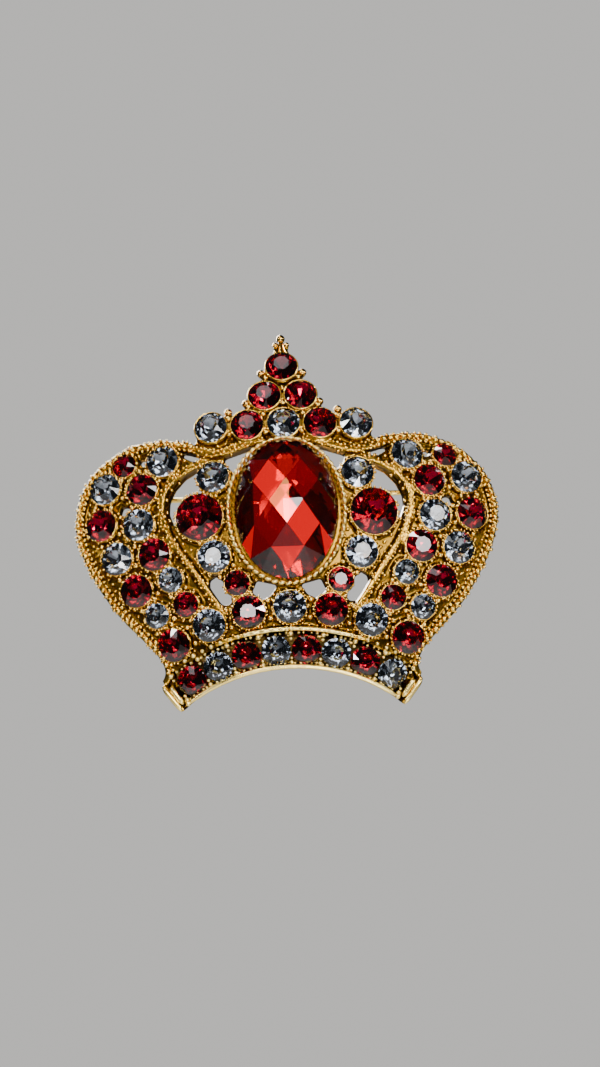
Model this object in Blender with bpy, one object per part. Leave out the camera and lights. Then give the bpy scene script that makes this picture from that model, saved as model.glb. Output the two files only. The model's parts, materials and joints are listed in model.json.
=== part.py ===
"""Crown brooch: a domed openwork casting set with glued stones, with a hinged pin and a safety catch.

The crown is drawn as a flat pattern, u to the right and v up, then laid over a shallow dome.
Row frame: +X to the right as seen from the front, +Z up, front towards -Y.
The origin is the middle of the closed pin stem, where the fabric holds the brooch.
Every size is in millimetres until it becomes a vertex.
"""
import math

import bmesh
import bpy
from mathutils import Matrix, Vector

MM = 0.001

# Stones: girdle diameters
LARGE_STONE = 6.1
MEDIUM_STONE = 4.15
SMALL_STONE = 3.2
BAND_STONE = 3.5
OVAL_WIDTH = 13.0
OVAL_HEIGHT = 18.0
OVAL_CROWN = 4.2
OVAL_BACK = 1.7
STONE_SIDES = 12
OVAL_SIDES = 24

# Shares of a round stone's girdle radius, the usual cut of a foiled chaton
TABLE_SHARE = 0.52
CROWN_SHARE = 0.4
PAVILION_SHARE = 0.85

EDGE_STEPS = 4

# Clearances
STONE_SPACING = 0.35
SEAT_GAP = 0.3
RUNNING_GAP = 0.12
SIDE_GAP = 0.15

# Casting
DOME_RADIUS = 80.0
PLATE_BACK = 2.4
PLATE_FRONT = 1.2
CUP_TOP = 0.3
CUP_WALL = 0.3
EDGE_WIDTH = 0.9
BORDER_WIDTH = 0.9
CROSSBAR_WIDTH = 1.1
RAIL_WIDTH = 0.55
RAIL_TOP = 0.3
EDGE_DROP = 0.3
CROSSBAR_DROP = 0.6
BEZEL_SIDE = 1.05
BEZEL_END = 0.7
BEZEL_TOP = 0.5
BEAD_RADIUS = 0.45
SMALL_BEAD_RADIUS = 0.33
POST_WIDTH = 0.55

# Band of stones along the lower edge, an arc about a centre below the crown
BAND_CENTRE = -44.0
BAND_RADIUS = 26.1
BAND_SPACING = 0.38
BAND_COUNT = 8
BAND_HALF_ANGLE = math.radians(38.0)
LOWER_RAIL = 2.15
UPPER_RAIL = 2.6
FOOT_TOP_REACH = 2.0
BED_WIDTH = 1.6
BED_TOP = 1.0
BED_BOTTOM = 1.7

# Pin and catch on the back
PIN_RADIUS = 0.33
PIN_LEVEL = 3.9
PIN_REACH = 18.5
PIN_OVERRUN = 0.6
POINT_LENGTH = 3.0
RIVET_RADIUS = 0.35
RIVET_HEAD = 0.6
HEAD_THICKNESS = 0.25
KNUCKLE_RADIUS = 0.95
KNUCKLE_THICKNESS = 1.0
EAR_THICKNESS = 0.6
EAR_RADIUS = 1.1
FOOT_THICKNESS = 0.6
FOOT_WIDTH = 3.2
PAD_MARGIN = 0.3
PAD_RISE = 0.05
ROLLER_BORE = 0.62
ROLLER_RADIUS = 1.15
ROLLER_FLANGE = 1.55
FLANGE_THICKNESS = 0.45
HOUSING_WALL = 0.5
HOUSING_LENGTH = 2.4
TAB_REACH = 2.9
TAB_WIDTH = 0.8
TAB_ANGLE = math.radians(-75.0)

# Pattern: one entry per stone on the axis or on the right; the left side mirrors it
STONES = {
    "spire_stone_top": (0.0, 20.75, MEDIUM_STONE, "red"),
    "spire_stone_mid": (2.4, 16.3, MEDIUM_STONE, "red"),
    "spire_stone_centre": (0.0, 12.15, MEDIUM_STONE, "clear"),
    "spire_stone_inner": (4.8, 12.05, MEDIUM_STONE, "red"),
    "spire_stone_outer": (9.6, 12.0, MEDIUM_STONE, "clear"),
    "wing_stone_01": (16.15, 7.7, MEDIUM_STONE, "clear"),
    "wing_stone_02": (21.4, 7.75, SMALL_STONE, "red"),
    "wing_stone_03": (24.1, 4.7, MEDIUM_STONE, "clear"),
    "wing_stone_04": (18.95, 4.05, MEDIUM_STONE, "red"),
    "wing_stone_05": (24.65, -0.3, MEDIUM_STONE, "red"),
    "wing_stone_06": (19.45, -0.7, MEDIUM_STONE, "clear"),
    "wing_stone_07": (22.5, -5.0, MEDIUM_STONE, "clear"),
    "wing_stone_08": (17.4, -4.85, MEDIUM_STONE, "red"),
    "wing_stone_09": (15.3, -8.3, SMALL_STONE, "clear"),
    "wing_stone_10": (19.9, -9.45, MEDIUM_STONE, "red"),
    "wing_stone_11": (13.4, -11.6, SMALL_STONE, "red"),
    "wing_stone_12": (17.3, -12.85, SMALL_STONE, "clear"),
    "wing_stone_13": (10.45, -14.45, MEDIUM_STONE, "clear"),
    "wing_stone_14": (15.2, -16.75, MEDIUM_STONE, "red"),
    "inner_stone_1": (9.4, 5.0, MEDIUM_STONE, "clear"),
    "inner_stone_2": (11.3, -0.35, LARGE_STONE, "red"),
    "inner_stone_3": (9.5, -5.65, MEDIUM_STONE, "clear"),
    "inner_stone_4": (6.65, -9.2, SMALL_STONE, "red"),
    "inner_stone_5": (5.3, -13.0, MEDIUM_STONE, "red"),
    "lower_stone_centre": (0.0, -12.5, MEDIUM_STONE, "clear"),
}
OVAL_CENTRE = 0.15

# Edges of the pattern on the right, as points a smooth curve runs through
SPIRE_EDGE = [(0.9, 22.3), (3.7, 17.2), (6.4, 13.4), (10.8, 13.0)]
WING_EDGE = [(12.2, 10.0), (15.4, 10.6), (19.3, 10.55), (23.1, 9.1), (26.35, 6.4), (28.1, 2.6), (28.2, -1.5),
             (26.4, -6.4), (23.1, -11.75), (19.5, -15.7), (17.2, -18.3), (16.5, -20.2), (17.0, -21.5)]
INNER_BORDER = [(10.3, 7.5), (12.7, 6.5), (15.2, 4.8), (16.45, 2.2), (16.1, -0.8), (14.6, -4.0),
                (12.4, -7.2), (9.9, -11.2), (8.3, -13.3)]
CROSSBAR = [(2.6, 10.4), (6.4, 9.2), (9.4, 8.5), (11.4, 9.1), (12.9, 9.6), (14.4, 10.1)]
BEADS = {(2.8, 19.75): (0.0, 20.75), (4.9, 15.2): (2.4, 16.3), (7.3, 14.0): (4.8, 12.05)}
FINIAL = [(1.0, 22.6), (1.0, 23.45), (0.55, 24.3), (0.3, 25.5)]
FINIAL_BEADS = [(0.0, 25.65, BEAD_RADIUS), (0.8, 24.15, SMALL_BEAD_RADIUS), (-0.8, 24.15, SMALL_BEAD_RADIUS)]

# Openings through the plate on the right, each filled back to the cups around it
OPENINGS = {
    "crescent": [(10.7, 6.4), (11.7, 6.5), (13.4, 5.6), (14.8, 4.1), (15.6, 2.4), (15.7, 0.8),
                 (15.1, -0.9), (13.2, -1.6), (11.5, 1.5)],
    "shoulder": [(3.9, 9.4), (8.1, 8.0), (7.8, 6.9), (6.6, 5.6), (4.4, 7.4)],
    "corner": [(11.2, 8.4), (12.7, 9.0), (14.0, 9.4), (13.5, 8.5), (12.5, 7.9), (11.3, 7.8)],
    "wing_middle": [(21.1, 2.2), (22.2, 2.4), (22.6, 1.2), (21.5, 0.5), (20.8, 1.3)],
    "wing_top": [(18.8, 8.8), (19.8, 8.9), (19.6, 7.9), (18.7, 7.9)],
    "wing_side": [(14.7, -4.9), (16.2, -4.9), (15.8, -6.1), (14.7, -5.7)],
    "lower": [(8.2, -9.2), (9.6, -8.1), (10.4, -8.6), (10.5, -9.8), (9.3, -11.9), (7.8, -11.9), (7.3, -10.9)],
    "below_oval": [(1.5, -9.6), (4.2, -8.9), (4.9, -10.4), (3.6, -11.5), (2.4, -10.9)],
}


# ---------------------------------------------------------------- size of the pattern

def both_sides():
    """Every round stone as name: (u, v, diameter, colour), still at the pattern's own size."""
    stones = {}
    for name, (u, v, size, colour) in STONES.items():
        if u == 0.0:
            stones[name] = (u, v, size, colour)
            continue
        stones["right_" + name] = (u, v, size, colour)
        stones["left_" + name] = (-u, v, size, colour)
    return stones


def pattern_scale():
    """The least size of the pattern at which every stone keeps its spacing from the next."""
    stones = list(both_sides().values())
    needs = []
    for first, (u, v, size, _) in enumerate(stones):
        for other_u, other_v, other_size, _ in stones[first + 1:]:
            apart = math.hypot(u - other_u, v - other_v)
            needs.append(((size + other_size) / 2 + STONE_SPACING) / apart)
        across = (OVAL_WIDTH + size) / 2 + BEZEL_SIDE
        along = (OVAL_HEIGHT + size) / 2 + BEZEL_END
        needs.append(1.0 / math.hypot(u / across, (v - OVAL_CENTRE) / along))
        band_reach = BAND_RADIUS + BAND_STONE / 2 + STONE_SPACING + size / 2
        needs.append(band_reach / math.hypot(u, v - BAND_CENTRE))
    band_angle = BAND_COUNT / 2 * (BAND_STONE + BAND_SPACING) / BAND_RADIUS
    needs.append(band_angle / (BAND_HALF_ANGLE - math.radians(3.9)))
    return max(needs)


SCALE = pattern_scale()


def scaled(points):
    return [(u * SCALE, v * SCALE) for u, v in points]


def mirrored(points):
    return [(-u, v) for u, v in reversed(points)]


# ---------------------------------------------------------------- dome

def dome_depth(reach, height):
    """How far behind the dome's front point a point at this reach and height lies."""
    return DOME_RADIUS - (DOME_RADIUS + height) * math.cos(reach / DOME_RADIUS)


def back_depth(x, z):
    """How far behind the dome's front point the plate's back lies, at a place in the row frame's X and Z."""
    return DOME_RADIUS - math.sqrt((DOME_RADIUS - PLATE_BACK) ** 2 - x ** 2 - z ** 2)


FITTING_X = PIN_REACH * SCALE
PAD_SIZE = FOOT_WIDTH + 2 * PAD_MARGIN
PAD_FACE = back_depth(FITTING_X + FOOT_WIDTH / 2, PIN_LEVEL + FOOT_WIDTH / 2) + PAD_RISE
FOOT_BASE = PAD_FACE + SEAT_GAP
FOOT_TOP = FOOT_BASE + FOOT_THICKNESS
HOUSING_BORE = ROLLER_RADIUS + RUNNING_GAP
HOUSING_RADIUS = HOUSING_BORE + HOUSING_WALL
PIN_DEPTH = max(FOOT_TOP + KNUCKLE_RADIUS + SIDE_GAP, FOOT_BASE + HOUSING_RADIUS, FOOT_TOP + ROLLER_FLANGE)


def dome_point(u, v, height=0.0):
    """A pattern point, with its height in front of the dome, in the row frame in metres."""
    reach = math.hypot(u, v)
    radius = DOME_RADIUS + height
    spread = radius * math.sin(reach / DOME_RADIUS) / reach if reach > 1e-9 else radius / DOME_RADIUS
    return Vector((u * spread, dome_depth(reach, height) - PIN_DEPTH, v * spread - PIN_LEVEL)) * MM


def dome_frame(u, v):
    """The placement of a stone whose girdle lies on the dome: local +Z points out of the front."""
    outward = (dome_point(u, v, 1.0) - dome_point(u, v)).normalized()
    right = (Vector((1.0, 0.0, 0.0)) - outward.x * outward).normalized()
    rotation = Matrix((right, outward.cross(right), outward)).transposed().to_4x4()
    return Matrix.Translation(dome_point(u, v)) @ rotation


def lay_on_dome(mesh):
    """Bends a mesh drawn flat, with its pattern in X and Y and its height in Z, over the dome."""
    for vertex in mesh.vertices:
        u, v, height = vertex.co / MM
        vertex.co = dome_point(u, v, height)
    mesh.update()


# ---------------------------------------------------------------- shapes

def mesh_from(name, vertices, faces):
    """A closed mesh in metres from vertices in millimetres, faces turned outwards."""
    shape = bmesh.new()
    corners = [shape.verts.new(Vector(vertex) * MM) for vertex in vertices]
    for face in faces:
        shape.faces.new([corners[index] for index in face])
    bmesh.ops.recalc_face_normals(shape, faces=shape.faces)
    mesh = bpy.data.meshes.new(name)
    shape.to_mesh(mesh)
    shape.free()
    return mesh


def prism(name, outline, low, high):
    count = len(outline)
    vertices = [(u, v, low) for u, v in outline] + [(u, v, high) for u, v in outline]
    faces = [tuple(range(count)), tuple(range(count, 2 * count))]
    for index in range(count):
        after = (index + 1) % count
        faces.append((index, after, count + after, count + index))
    return mesh_from(name, vertices, faces)


def turned(name, profile, sides, stretch=1.0):
    """A body turned about Z from (radius, height) pairs; radius 0 at an end is a point."""
    vertices, faces, rings = [], [], []
    for radius, height in profile:
        start = len(vertices)
        if radius == 0.0:
            vertices.append((0.0, 0.0, height))
            rings.append([start])
            continue
        for side in range(sides):
            angle = 2 * math.pi * (side + 0.5) / sides
            vertices.append((radius * math.cos(angle), stretch * radius * math.sin(angle), height))
        rings.append(list(range(start, start + sides)))
    for upper, lower in zip(rings, rings[1:]):
        for side in range(sides):
            after = (side + 1) % sides
            if len(upper) == 1:
                faces.append((upper[0], lower[side], lower[after]))
            elif len(lower) == 1:
                faces.append((upper[side], lower[0], upper[after]))
            else:
                faces.append((upper[side], lower[side], lower[after], upper[after]))
    faces += [tuple(ring) for ring in (rings[0], rings[-1]) if len(ring) > 1]
    return mesh_from(name, vertices, faces)


def box(name, low, high):
    outline = [(low[0], low[1]), (high[0], low[1]), (high[0], high[1]), (low[0], high[1])]
    return prism(name, outline, low[2], high[2])


def smooth_line(points, steps):
    """Points along a smooth curve that passes through the given ones."""
    line = []
    for index in range(len(points) - 1):
        before = points[max(index - 1, 0)]
        start, end = points[index], points[index + 1]
        after = points[min(index + 2, len(points) - 1)]
        for step in range(steps):
            t = step / steps
            line.append(tuple(
                0.5 * (2 * b + (c - a) * t + (2 * a - 5 * b + 4 * c - d) * t ** 2 + (3 * b - a - 3 * c + d) * t ** 3)
                for a, b, c, d in zip(before, start, end, after)))
    return line + [points[-1]]


def arc(radius, start, end, count):
    """Points on the band's circles; angles are measured from straight up at its centre."""
    angles = [start + (end - start) * index / (count - 1) for index in range(count)]
    return [(radius * math.sin(angle), BAND_CENTRE * SCALE + radius * math.cos(angle)) for angle in angles]


def strip_outline(line, width):
    """The outline of a strip of constant width along a line."""
    left, right = [], []
    for index, (u, v) in enumerate(line):
        before, after = line[max(index - 1, 0)], line[min(index + 1, len(line) - 1)]
        along = Vector((after[0] - before[0], after[1] - before[1])).normalized()
        left.append((u - along.y * width / 2, v + along.x * width / 2))
        right.append((u + along.y * width / 2, v - along.x * width / 2))
    return left + right[::-1]


def inset_line(line, distance):
    """The line moved to its right-hand side, which is the crown's inside on the right wing's edge."""
    return strip_outline(line, 2 * distance)[:len(line) - 1:-1]


# ---------------------------------------------------------------- scene helpers

def gold():
    return material("gold", (0.83, 0.60, 0.20), 0.25, 1.0)


def material(name, colour, roughness, metallic):
    known = bpy.data.materials.get(name)
    if known:
        return known
    made = bpy.data.materials.new(name)
    made.use_nodes = True
    shader = made.node_tree.nodes["Principled BSDF"]
    shader.inputs["Base Color"].default_value = (*colour, 1.0)
    shader.inputs["Roughness"].default_value = roughness
    shader.inputs["Metallic"].default_value = metallic
    return made


def stone_material(colour):
    if colour == "red":
        return material("red_stone", (0.45, 0.01, 0.01), 0.05, 0.3)
    return material("clear_stone", (0.45, 0.50, 0.58), 0.05, 0.3)


def place(name, mesh, look, matrix=None):
    """Adds a finished piece to the scene."""
    thing = bpy.data.objects.new(name, mesh)
    thing.data.materials.append(look)
    if matrix:
        thing.matrix_world = matrix
    bpy.context.scene.collection.objects.link(thing)
    return thing


def group(name, meshes, matrices=None):
    """A collection of shapes that only serve a Boolean."""
    collection = bpy.data.collections.new(name)
    bpy.context.scene.collection.children.link(collection)
    for index, mesh in enumerate(meshes):
        thing = bpy.data.objects.new(name + "_" + str(index), mesh)
        if matrices:
            thing.matrix_world = matrices[index]
        thing.hide_render = True
        thing.display_type = "WIRE"
        collection.objects.link(thing)
    return collection


def combine(thing, operation, collection):
    step = thing.modifiers.new(collection.name, "BOOLEAN")
    step.operation = operation
    step.operand_type = "COLLECTION"
    step.collection = collection


def finished_mesh(thing):
    """The mesh a thing has after its modifiers, as triangles."""
    bpy.context.view_layer.update()
    evaluated = thing.evaluated_get(bpy.context.evaluated_depsgraph_get())
    mesh = bpy.data.meshes.new_from_object(evaluated)
    shape = bmesh.new()
    shape.from_mesh(mesh)
    bmesh.ops.triangulate(shape, faces=shape.faces)
    shape.to_mesh(mesh)
    shape.free()
    return mesh


def discard(*collections):
    for collection in collections:
        for thing in list(collection.objects):
            bpy.data.objects.remove(thing)
        bpy.data.collections.remove(collection)


# ---------------------------------------------------------------- stones

def chaton(size):
    radius = size / 2
    profile = [(TABLE_SHARE * radius, CROWN_SHARE * radius), (radius, 0.0), (0.0, -PAVILION_SHARE * radius)]
    return turned("chaton", profile, STONE_SIDES)


def seat_cutter(size):
    """The stone's cone moved outwards by the seat gap, with room in front of the girdle."""
    radius = size / 2 + SEAT_GAP
    return turned("seat", [(radius, size), (radius, 0.0), (0.0, -PAVILION_SHARE * radius)], STONE_SIDES)


def build_round_stones():
    meshes = {size: chaton(size) for size in (LARGE_STONE, MEDIUM_STONE, SMALL_STONE)}
    for name, (u, v, size, colour) in both_sides().items():
        mesh = meshes[size].copy()
        place(name, mesh, stone_material(colour), dome_frame(u * SCALE, v * SCALE))


def oval_profile(gap=0.0):
    """Radius along the width and height of the oval stone, from its crown to its flat back."""
    girdle = OVAL_WIDTH / 2 + gap
    rise = BEZEL_TOP + OVAL_CROWN
    return [(0.32 * girdle, rise), (0.66 * girdle, BEZEL_TOP + 0.76 * OVAL_CROWN),
            (0.9 * girdle, BEZEL_TOP + 0.4 * OVAL_CROWN), (girdle, BEZEL_TOP), (0.92 * girdle, -0.4 - gap),
            (0.4 * girdle, -OVAL_BACK - gap)]


def build_oval_stone():
    mesh = turned("oval_stone", oval_profile(), OVAL_SIDES, OVAL_HEIGHT / OVAL_WIDTH)
    place("oval_stone", mesh, stone_material("red"), dome_frame(0.0, OVAL_CENTRE * SCALE))


def oval_seat():
    """Room for the oval stone, straight above its girdle, with a hole through the back."""
    below = [(radius, height) for radius, height in oval_profile(SEAT_GAP) if height <= BEZEL_TOP]
    hole = 0.3 * OVAL_WIDTH / 2
    profile = [(below[0][0], OVAL_CROWN)] + below + [(hole, -OVAL_BACK - SEAT_GAP), (hole, -2 * PLATE_BACK)]
    height = OVAL_HEIGHT / 2 + SEAT_GAP
    return turned("oval_seat", profile, OVAL_SIDES, height / (OVAL_WIDTH / 2 + SEAT_GAP))


def band_angles():
    step = (BAND_STONE + BAND_SPACING) / (BAND_RADIUS * SCALE)
    return [(index - (BAND_COUNT - 1) / 2) * step for index in range(BAND_COUNT)]


def build_band_stones():
    """The stones of the lower band, joined by the strip of adhesive that beds them in their channel."""
    radius = BAND_RADIUS * SCALE
    angles = band_angles()
    stones = []
    for angle in angles:
        mesh = chaton(BAND_STONE)
        centre = Vector((radius * math.sin(angle), BAND_CENTRE * SCALE + radius * math.cos(angle), 0.0)) * MM
        mesh.transform(Matrix.Translation(centre))
        stones.append(mesh)
    line = arc(radius, angles[0] - 0.02, angles[-1] + 0.02, 33)
    bed = bpy.data.objects.new("bed", prism("bed", strip_outline(line, BED_WIDTH), -BED_BOTTOM, -BED_TOP))
    bpy.context.scene.collection.objects.link(bed)
    stone_group = group("band_parts", stones)
    combine(bed, "UNION", stone_group)
    mesh = finished_mesh(bed)
    bpy.data.objects.remove(bed)
    discard(stone_group)
    lay_on_dome(mesh)
    place("band_stones", mesh, stone_material("clear"))


# ---------------------------------------------------------------- casting

def frame_outline():
    """The plate's outline, clockwise from the top of the spire."""
    right = scaled(SPIRE_EDGE) + smooth_line(scaled(WING_EDGE), EDGE_STEPS)
    outer = (BAND_RADIUS + FOOT_TOP_REACH) * SCALE
    right += arc(outer, BAND_HALF_ANGLE, BAND_HALF_ANGLE, 2)[:1]
    inner = (BAND_RADIUS - LOWER_RAIL) * SCALE - RAIL_WIDTH / 2
    right += arc(inner, BAND_HALF_ANGLE, 0.0, 17)
    return right + mirrored(right)[1:]


def raised_parts():
    """Everything that stands up from the plate, with feet sunk into it."""
    parts = []
    for u, v, size, _ in both_sides().values():
        cup = turned("cup", [(size / 2 + CUP_WALL, -CUP_TOP), (size / 2 + CUP_WALL, -PLATE_BACK + 0.3)], STONE_SIDES)
        cup.transform(Matrix.Translation(Vector((u * SCALE, v * SCALE, 0.0)) * MM))
        parts.append(cup)
    bezel_width = OVAL_WIDTH / 2 + BEZEL_SIDE
    bezel = turned("bezel", [(bezel_width, BEZEL_TOP), (bezel_width, -PLATE_BACK + 0.1)], OVAL_SIDES,
                   (OVAL_HEIGHT / 2 + BEZEL_END) / bezel_width)
    bezel.transform(Matrix.Translation(Vector((0.0, OVAL_CENTRE * SCALE, 0.0)) * MM))
    parts.append(bezel)
    edge = inset_line(smooth_line(scaled(WING_EDGE), EDGE_STEPS), EDGE_WIDTH / 2 - 0.1)
    lines = [(edge, EDGE_WIDTH, EDGE_DROP), (smooth_line(scaled(INNER_BORDER), 4), BORDER_WIDTH, CUP_TOP),
             (smooth_line(scaled(CROSSBAR), 3), CROSSBAR_WIDTH, CROSSBAR_DROP)]
    for line, width, drop in lines:
        outline = strip_outline(line, width)
        parts.append(prism("strip", outline, -PLATE_BACK + 0.2, -drop))
        parts.append(prism("strip", mirrored(outline), -PLATE_BACK + 0.2, -drop))
    return parts + band_walls() + spire_beads()


def band_walls():
    """The two rails that hold the band's stones and the bars across its ends."""
    walls = []
    for offset, reach in ((-LOWER_RAIL, 0.9), (UPPER_RAIL, 0.52)):
        line = arc((BAND_RADIUS + offset) * SCALE, -reach * BAND_HALF_ANGLE, reach * BAND_HALF_ANGLE, 25)
        walls.append(prism("rail", strip_outline(line, RAIL_WIDTH), -PLATE_BACK + 0.15, RAIL_TOP))
    bars = ((BAND_HALF_ANGLE - 0.012, -2.5, 1.7), (BAND_HALF_ANGLE - 0.04, -1.3, 0.45))
    for side in (-1, 1):
        for angle, start, end in bars:
            line = [arc((BAND_RADIUS + reach) * SCALE, side * angle, side * angle, 2)[0] for reach in (start, end)]
            walls.append(prism("bar", strip_outline(line, RAIL_WIDTH), -PLATE_BACK + 0.25, RAIL_TOP))
    return walls


def ball(u, v, height, radius):
    shape = bmesh.new()
    bmesh.ops.create_uvsphere(shape, u_segments=8, v_segments=5, radius=radius * MM)
    mesh = bpy.data.meshes.new("bead")
    shape.to_mesh(mesh)
    shape.free()
    mesh.transform(Matrix.Translation(Vector((u, v, height)) * MM))
    return mesh


def spire_beads():
    """The beads beside the spire, each on a short post, and the tapered finial with its three beads."""
    parts = []
    for bead, root in BEADS.items():
        for line in (scaled([root, bead]), scaled([(-root[0], root[1]), (-bead[0], bead[1])])):
            end = [centre + 0.03 * (centre - start) for start, centre in zip(*line)]
            parts.append(prism("post", strip_outline([line[0], end], POST_WIDTH), -PLATE_BACK + 0.5, -0.8))
            parts.append(ball(*line[1], -0.7, BEAD_RADIUS))
    outline = scaled(FINIAL)
    parts.append(prism("finial", outline + mirrored(outline), -PLATE_BACK + 0.6, -0.6))
    parts += [ball(u * SCALE, v * SCALE, -0.7, radius) for u, v, radius in FINIAL_BEADS]
    return parts


def opening_cutters():
    cutters = []
    for outline in OPENINGS.values():
        for points in (scaled(outline), mirrored(scaled(outline))):
            cutters.append(prism("opening", points, -2 * PLATE_BACK, PLATE_BACK))
    return cutters


def channel_cutter():
    """The channel of the band's stones, with room for them and for the bed under them."""
    radius = BAND_RADIUS * SCALE
    end = -band_angles()[0] + (BAND_STONE / 2 + SEAT_GAP) / radius
    outline = strip_outline(arc(radius, -end, end, 33), BAND_STONE + 2 * SEAT_GAP)
    return prism("channel", outline, -BED_BOTTOM - SEAT_GAP, 2 * PLATE_BACK)


def pads():
    """Flat pads on the back that the pin's fittings are soldered to."""
    made = []
    for side in (-1, 1):
        x = side * FITTING_X
        low = (x - PAD_SIZE / 2, PAD_FACE - PIN_DEPTH - 2.0, -PAD_SIZE / 2)
        high = (x + PAD_SIZE / 2, PAD_FACE - PIN_DEPTH, PAD_SIZE / 2)
        made.append(box("pad", low, high))
    return made


def build_frame():
    plate = bpy.data.objects.new("plate", prism("plate", frame_outline(), -PLATE_BACK, -PLATE_FRONT))
    bpy.context.scene.collection.objects.link(plate)
    holes = group("openings", opening_cutters())
    raised = group("raised", raised_parts())
    channel = group("channel", [channel_cutter()])
    combine(plate, "DIFFERENCE", holes)
    combine(plate, "UNION", raised)
    combine(plate, "DIFFERENCE", channel)
    mesh = finished_mesh(plate)
    bpy.data.objects.remove(plate)
    discard(holes, raised, channel)
    lay_on_dome(mesh)
    frame = place("crown_frame", mesh, gold())
    cutters = {size: seat_cutter(size) for size in (LARGE_STONE, MEDIUM_STONE, SMALL_STONE)}
    seats, places = [], []
    for u, v, size, _ in both_sides().values():
        seats.append(cutters[size])
        places.append(dome_frame(u * SCALE, v * SCALE))
    seats.append(oval_seat())
    places.append(dome_frame(0.0, OVAL_CENTRE * SCALE))
    combine(frame, "UNION", group("pads", pads()))
    combine(frame, "DIFFERENCE", group("seats", seats, places))


# ---------------------------------------------------------------- pin and catch, drawn about the pin's axis

ALONG_X = Matrix.Rotation(math.pi / 2, 4, "Y")


def ring_points(radius, start, end, count):
    angles = [start + (end - start) * index / (count - 1) for index in range(count)]
    return [(radius * math.cos(angle), radius * math.sin(angle)) for angle in angles]


def keyhole(name, radius, mouth, depth, low, high):
    """A bore along X with a mouth that opens backwards, along +Y."""
    lip = math.asin(mouth / radius)
    outline = ring_points(radius, math.pi / 2 + lip, 5 * math.pi / 2 - lip, 23)
    outline += [(mouth, depth), (-mouth, depth)]
    mesh = prism(name, outline, low, high)
    mesh.transform(Matrix(((0, 0, 1, 0), (0, 1, 0, 0), (1, 0, 0, 0), (0, 0, 0, 1))))
    mesh.flip_normals()
    return mesh


def build_pin_joint():
    """Two ears on a foot, soldered to the pad behind the left wing."""
    x = -FITTING_X
    inner = KNUCKLE_THICKNESS / 2 + SIDE_GAP
    foot_low = (x - FOOT_WIDTH / 2, FOOT_BASE - PIN_DEPTH, -FOOT_WIDTH / 2)
    foot_high = (x + FOOT_WIDTH / 2, FOOT_TOP - PIN_DEPTH, FOOT_WIDTH / 2)
    joint = place("pin_joint", box("pin_joint", foot_low, foot_high), gold())
    profile = ring_points(EAR_RADIUS, 0.0, math.pi, 11)
    root = FOOT_TOP - PIN_DEPTH - 0.2
    profile = [(x + u, v) for u, v in profile + [(-EAR_RADIUS, root), (EAR_RADIUS, root)]]
    ears = [prism("ear", profile, inner, inner + EAR_THICKNESS), prism("ear", profile, -inner - EAR_THICKNESS, -inner)]
    combine(joint, "UNION", group("ears", ears))
    hole = turned("hole", [(RIVET_RADIUS + RUNNING_GAP, 5.0), (RIVET_RADIUS + RUNNING_GAP, -5.0)], 20)
    combine(joint, "DIFFERENCE", group("rivet_hole", [hole], [Matrix.Translation((x * MM, 0.0, 0.0))]))


def build_hinge_rivet():
    end = KNUCKLE_THICKNESS / 2 + SIDE_GAP + EAR_THICKNESS + SIDE_GAP
    profile = [(RIVET_HEAD, end + HEAD_THICKNESS), (RIVET_HEAD, end), (RIVET_RADIUS, end),
               (RIVET_RADIUS, -end), (RIVET_HEAD, -end), (RIVET_HEAD, -end - HEAD_THICKNESS)]
    mesh = turned("hinge_rivet", profile, 20)
    place("hinge_rivet", mesh, gold(), Matrix.Translation((-FITTING_X * MM, 0.0, 0.0)))


def build_pin_stem():
    """The pin: a knuckle round the rivet and a pointed wire. Its origin is on the hinge axis."""
    knuckle = turned("knuckle", [(KNUCKLE_RADIUS, KNUCKLE_THICKNESS / 2), (KNUCKLE_RADIUS, -KNUCKLE_THICKNESS / 2)], 24)
    stem = place("pin_stem", knuckle, gold(), Matrix.Translation((-FITTING_X * MM, 0.0, 0.0)))
    tip = FITTING_X + roller_end() + PIN_OVERRUN
    profile = [(PIN_RADIUS, 0.6 * KNUCKLE_RADIUS), (PIN_RADIUS, tip - POINT_LENGTH), (0.25 * PIN_RADIUS, tip)]
    wire = turned("wire", profile[::-1], 12)
    wire.transform(ALONG_X)
    combine(stem, "UNION", group("wire", [wire], [stem.matrix_world]))
    bore = turned("bore", [(RIVET_RADIUS + RUNNING_GAP, 5.0), (RIVET_RADIUS + RUNNING_GAP, -5.0)], 20)
    combine(stem, "DIFFERENCE", group("knuckle_bore", [bore], [stem.matrix_world]))


def roller_end():
    return FITTING_X + HOUSING_LENGTH / 2 + SIDE_GAP + FLANGE_THICKNESS


def build_catch_base():
    """The housing of the roller, open at the back, on a foot soldered behind the right wing."""
    x = FITTING_X
    foot_low = (x - HOUSING_LENGTH / 2, FOOT_BASE - PIN_DEPTH, -FOOT_WIDTH / 2)
    foot_high = (x + HOUSING_LENGTH / 2, FOOT_TOP - PIN_DEPTH, FOOT_WIDTH / 2)
    base = place("catch_base", box("catch_base", foot_low, foot_high), gold())
    wall = [(HOUSING_RADIUS, HOUSING_LENGTH / 2 - 0.01), (HOUSING_RADIUS, -HOUSING_LENGTH / 2 + 0.01)]
    shell = turned("shell", wall, 28)
    shell.transform(ALONG_X)
    low = FOOT_TOP - PIN_DEPTH - 0.2
    web_low = (-HOUSING_LENGTH / 2 + 0.02, low, -ROLLER_RADIUS)
    web = box("web", web_low, (HOUSING_LENGTH / 2 - 0.02, -ROLLER_RADIUS / 2, ROLLER_RADIUS))
    spot = Matrix.Translation((x * MM, 0.0, 0.0))
    combine(base, "UNION", group("housing", [shell, web], [spot, spot]))
    bore = keyhole("housing_bore", HOUSING_BORE, ROLLER_BORE + RUNNING_GAP, 4.0, -5.0, 5.0)
    combine(base, "DIFFERENCE", group("housing_bore", [bore], [spot]))


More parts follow.
